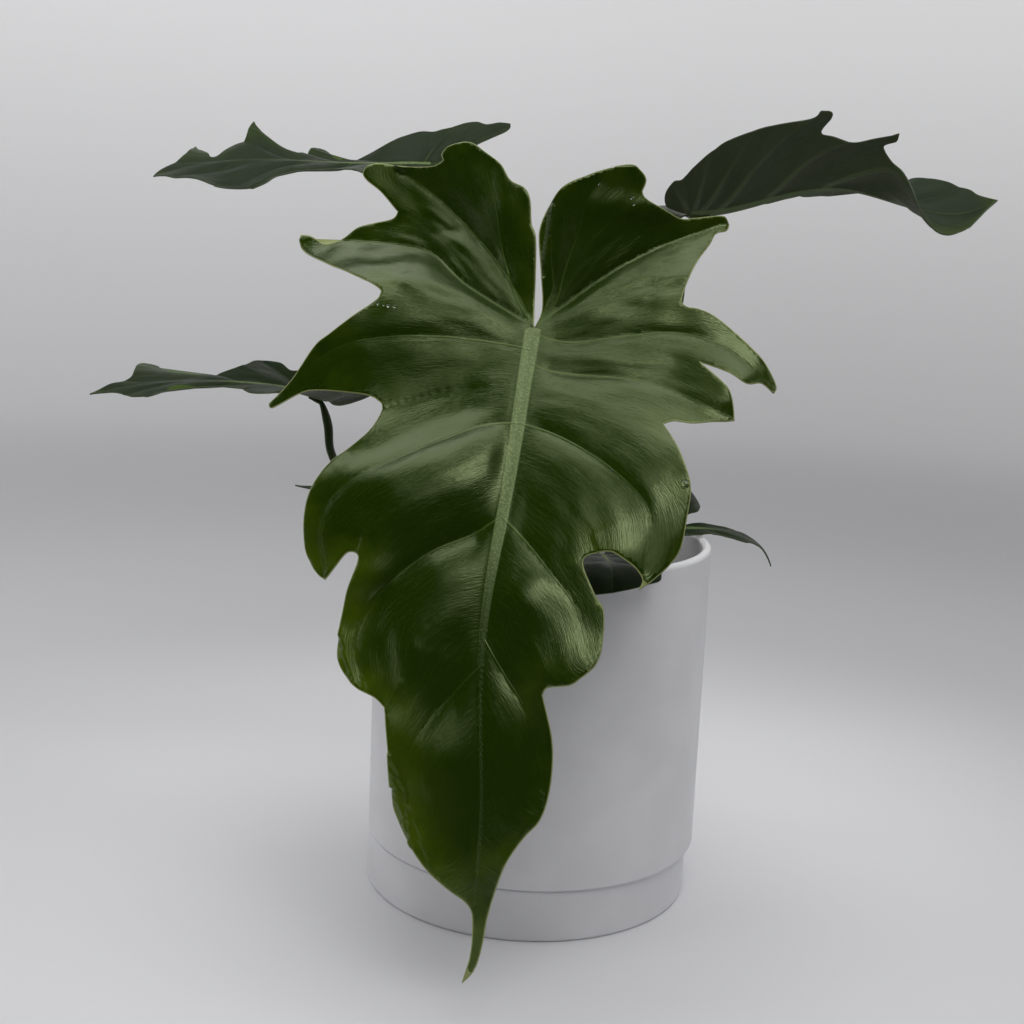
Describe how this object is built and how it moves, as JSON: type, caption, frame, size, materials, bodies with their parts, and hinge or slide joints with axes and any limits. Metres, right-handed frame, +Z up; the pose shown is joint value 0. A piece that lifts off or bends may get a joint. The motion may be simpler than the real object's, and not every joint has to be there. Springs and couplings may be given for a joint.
{
  "type": "potted philodendron mayoi",
  "caption": "Young climbing philodendron with deeply lobed glossy leaves on long petioles, in a plain white cylinder pot standing in a low matching saucer.",
  "frame": {"origin": "on the ground under the pot's axis, in the plane of the saucer's flat underside", "axes": "+Z up, -Y the front where the large leaf hangs, +X to the right seen from the front"},
  "size_m": [0.3933, 0.2759, 0.351],
  "materials": {
    "ceramic": "matte white ceramic",
    "soil": "loose dark potting soil",
    "stem": "dull green stem with faint leaf rings",
    "petiole": "smooth satin green stalk",
    "blade": "glossy dark green upper face with pale midrib and margin, dull grey-green underside"
  },
  "bodies": {
    "root": {"saucer": "ceramic", "pot": "ceramic", "soil": "soil", "stem": "stem", "front_leaf_blade": "blade", "front_leaf_petiole": "petiole", "upper_left_leaf_blade": "blade", "upper_left_leaf_petiole": "petiole", "upper_right_leaf_blade": "blade", "upper_right_leaf_petiole": "petiole", "lower_left_leaf_blade": "blade", "lower_left_leaf_petiole": "petiole", "right_small_leaf_blade": "blade", "right_small_leaf_petiole": "petiole", "rim_small_leaf_blade": "blade", "rim_small_leaf_petiole": "petiole", "left_small_leaf_blade": "blade", "left_small_leaf_petiole": "petiole"}
  },
  "joints": []
}
